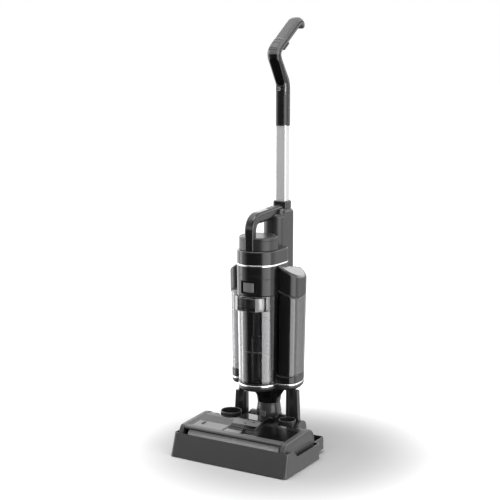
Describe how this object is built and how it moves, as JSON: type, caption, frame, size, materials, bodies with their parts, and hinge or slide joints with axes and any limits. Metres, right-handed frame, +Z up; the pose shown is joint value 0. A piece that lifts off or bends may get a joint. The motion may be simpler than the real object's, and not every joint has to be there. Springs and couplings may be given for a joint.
{
  "type": "cordless wet and dry floor scrubber with rinsing dock",
  "caption": "Cordless upright wet and dry floor scrubber standing in its rinsing dock, with smoked tanks, a reclining neck and a pistol handle.",
  "frame": {"origin": "middle of the footprint of the machine and its dock, on the floor", "axes": "+X to the machine's right seen from the front, +Y to the back where the handle is, +Z up"},
  "size_m": [0.3398, 0.3754, 1.1107],
  "materials": {
    "dock_shell": "fine grained black moulding",
    "satin_black": "satin black moulding",
    "gloss_black": "polished black",
    "grey_shell": "satin graphite moulding",
    "soft_touch": "soft-touch coating",
    "silver_trim": "bright band",
    "anodised_tube": "satin anodised",
    "smoked_clear": "clear smoked wall",
    "smoked_dark": "dark smoked wall",
    "black_rubber": "matte",
    "fleece": "dense short pile",
    "steel": "turned",
    "brass": "machined",
    "circuit_board": "green board",
    "battery_wrap": "blue sleeve",
    "white_plastic": "white moulding"
  },
  "bodies": {
    "dock": {"dock_tray": "dock_shell", "dock_cup_left": "satin_black", "dock_cup_right": "satin_black", "dock_post_left": "dock_shell", "dock_post_right": "dock_shell", "dock_contact_left": "satin_black", "dock_contact_right": "satin_black", "dock_foot": "black_rubber"},
    "floor_head": {"head_chassis": "satin_black", "head_deck": "gloss_black", "suction_channel": "gloss_black", "side_cover_left": "grey_shell", "side_cover_right": "grey_shell", "roller_bearing": "steel", "brush_motor": "steel", "wheel_axle": "steel", "scraper_blade": "black_rubber", "drive_belt": "black_rubber", "hinge_pin": "steel"},
    "roller_cover_lid": {"roller_cover": "smoked_clear"},
    "roller": {"brush_roller": "fleece", "roller_core": "satin_black"},
    "brush_pulley": {"motor_pulley": "brass"},
    "left_wheel": {"wheel_left": "black_rubber"},
    "right_wheel": {"wheel_right": "black_rubber"},
    "neck": {"neck_yoke": "grey_shell", "neck_hose": "black_rubber"},
    "upright_body": {"swivel_hub": "gloss_black", "base_cap": "satin_black", "lower_trim": "silver_trim", "main_frame": "gloss_black", "upper_housing": "satin_black", "upper_trim": "silver_trim", "motor_cap": "satin_black", "motor_drum": "satin_black", "spine": "satin_black", "carry_handle": "satin_black", "tube_socket": "satin_black", "suction_motor": "white_plastic", "battery_pack": "battery_wrap", "control_board": "circuit_board", "water_pump": "satin_black"},
    "fan": {"impeller": "white_plastic"},
    "dirty_tank_unit": {"dirty_tank": "smoked_clear", "tank_lid": "smoked_clear", "tank_riser": "satin_black", "tank_filter": "white_plastic"},
    "float_valve": {"tank_float": "white_plastic"},
    "clean_tank_unit": {"clean_tank": "smoked_dark", "clean_tank_lid": "satin_black"},
    "filler_plug": {"filler_cap": "black_rubber"},
    "tank_latch": {"latch_button": "grey_shell"},
    "tube_button": {"tube_release_button": "grey_shell"},
    "handle": {"handle_tube": "anodised_tube", "handle_shell": "satin_black", "grip_cover": "soft_touch", "display_panel": "gloss_black"},
    "mode_button": {"mode_switch": "soft_touch"},
    "water_trigger": {"trigger": "satin_black"},
    "power_push_button": {"power_button": "grey_shell"}
  },
  "joints": [
    {"name": "head_lift", "type": "slide", "parent": "dock", "child": "floor_head", "axis": [0, 0, 1], "range_m": [0, 0.25]},
    {"name": "roller_cover_lift", "type": "slide", "parent": "floor_head", "child": "roller_cover_lid", "axis": [0, 0, 1], "range_m": [0, 0.06]},
    {"name": "roller_spin", "type": "hinge", "parent": "floor_head", "child": "roller", "pos_m": [0, -0.13316, 0.0477], "axis": [1, 0, 0], "continuous": true},
    {"name": "brush_pulley_spin", "type": "hinge", "parent": "floor_head", "child": "brush_pulley", "pos_m": [0.145, -0.07316, 0.048], "axis": [1, 0, 0], "continuous": true},
    {"name": "left_wheel_spin", "type": "hinge", "parent": "floor_head", "child": "left_wheel", "pos_m": [-0.0438, 0.01584, 0.0437], "axis": [1, 0, 0], "continuous": true},
    {"name": "right_wheel_spin", "type": "hinge", "parent": "floor_head", "child": "right_wheel", "pos_m": [0.0438, 0.01584, 0.0437], "axis": [1, 0, 0], "continuous": true},
    {"name": "neck_recline", "type": "hinge", "parent": "floor_head", "child": "neck", "pos_m": [0, 0.02684, 0.076], "axis": [-1, 0, 0], "range_deg": [0, 65]},
    {"name": "body_swivel", "type": "hinge", "parent": "neck", "child": "upright_body", "pos_m": [0, 0.02684, 0.144], "axis": [0, 0, 1], "range_deg": [-40, 40]},
    {"name": "fan_spin", "type": "hinge", "parent": "upright_body", "child": "fan", "pos_m": [0, -0.02816, 0.434], "axis": [0, 0, 1], "continuous": true},
    {"name": "dirty_tank_pull", "type": "slide", "parent": "upright_body", "child": "dirty_tank_unit", "axis": [0, -1, 0], "range_m": [0, 0.14]},
    {"name": "float_rise", "type": "slide", "parent": "dirty_tank_unit", "child": "float_valve", "axis": [0, 0, 1], "range_m": [0, 0.012]},
    {"name": "clean_tank_pull", "type": "slide", "parent": "upright_body", "child": "clean_tank_unit", "axis": [0, 1, 0], "range_m": [0, 0.16]},
    {"name": "filler_cap_pull", "type": "slide", "parent": "clean_tank_unit", "child": "filler_plug", "axis": [0, 1, 0], "range_m": [0, 0.02]},
    {"name": "tank_latch_press", "type": "slide", "parent": "upright_body", "child": "tank_latch", "axis": [0, 1, 0], "range_m": [0, 0.002], "stiffness_N_per_m": 200},
    {"name": "tube_button_press", "type": "slide", "parent": "upright_body", "child": "tube_button", "axis": [0, 0.0624, -0.9981], "range_m": [0, 0.002], "stiffness_N_per_m": 200},
    {"name": "handle_pull", "type": "slide", "parent": "upright_body", "child": "handle", "axis": [0, 0, 1], "range_m": [0, 0.07]},
    {"name": "mode_press", "type": "slide", "parent": "handle", "child": "mode_button", "axis": [0, 0.5651, -0.8251], "range_m": [0, 0.0015], "stiffness_N_per_m": 200},
    {"name": "trigger_pull", "type": "slide", "parent": "handle", "child": "water_trigger", "axis": [0, -0.5651, 0.8251], "range_m": [0, 0.0025], "stiffness_N_per_m": 200},
    {"name": "power_press", "type": "slide", "parent": "handle", "child": "power_push_button", "axis": [0, 1, 0], "range_m": [0, 0.0015], "stiffness_N_per_m": 200}
  ],
  "couplings": [
    {"joint": "brush_pulley_spin", "follows": "roller_spin", "ratio": 2.3333}
  ]
}
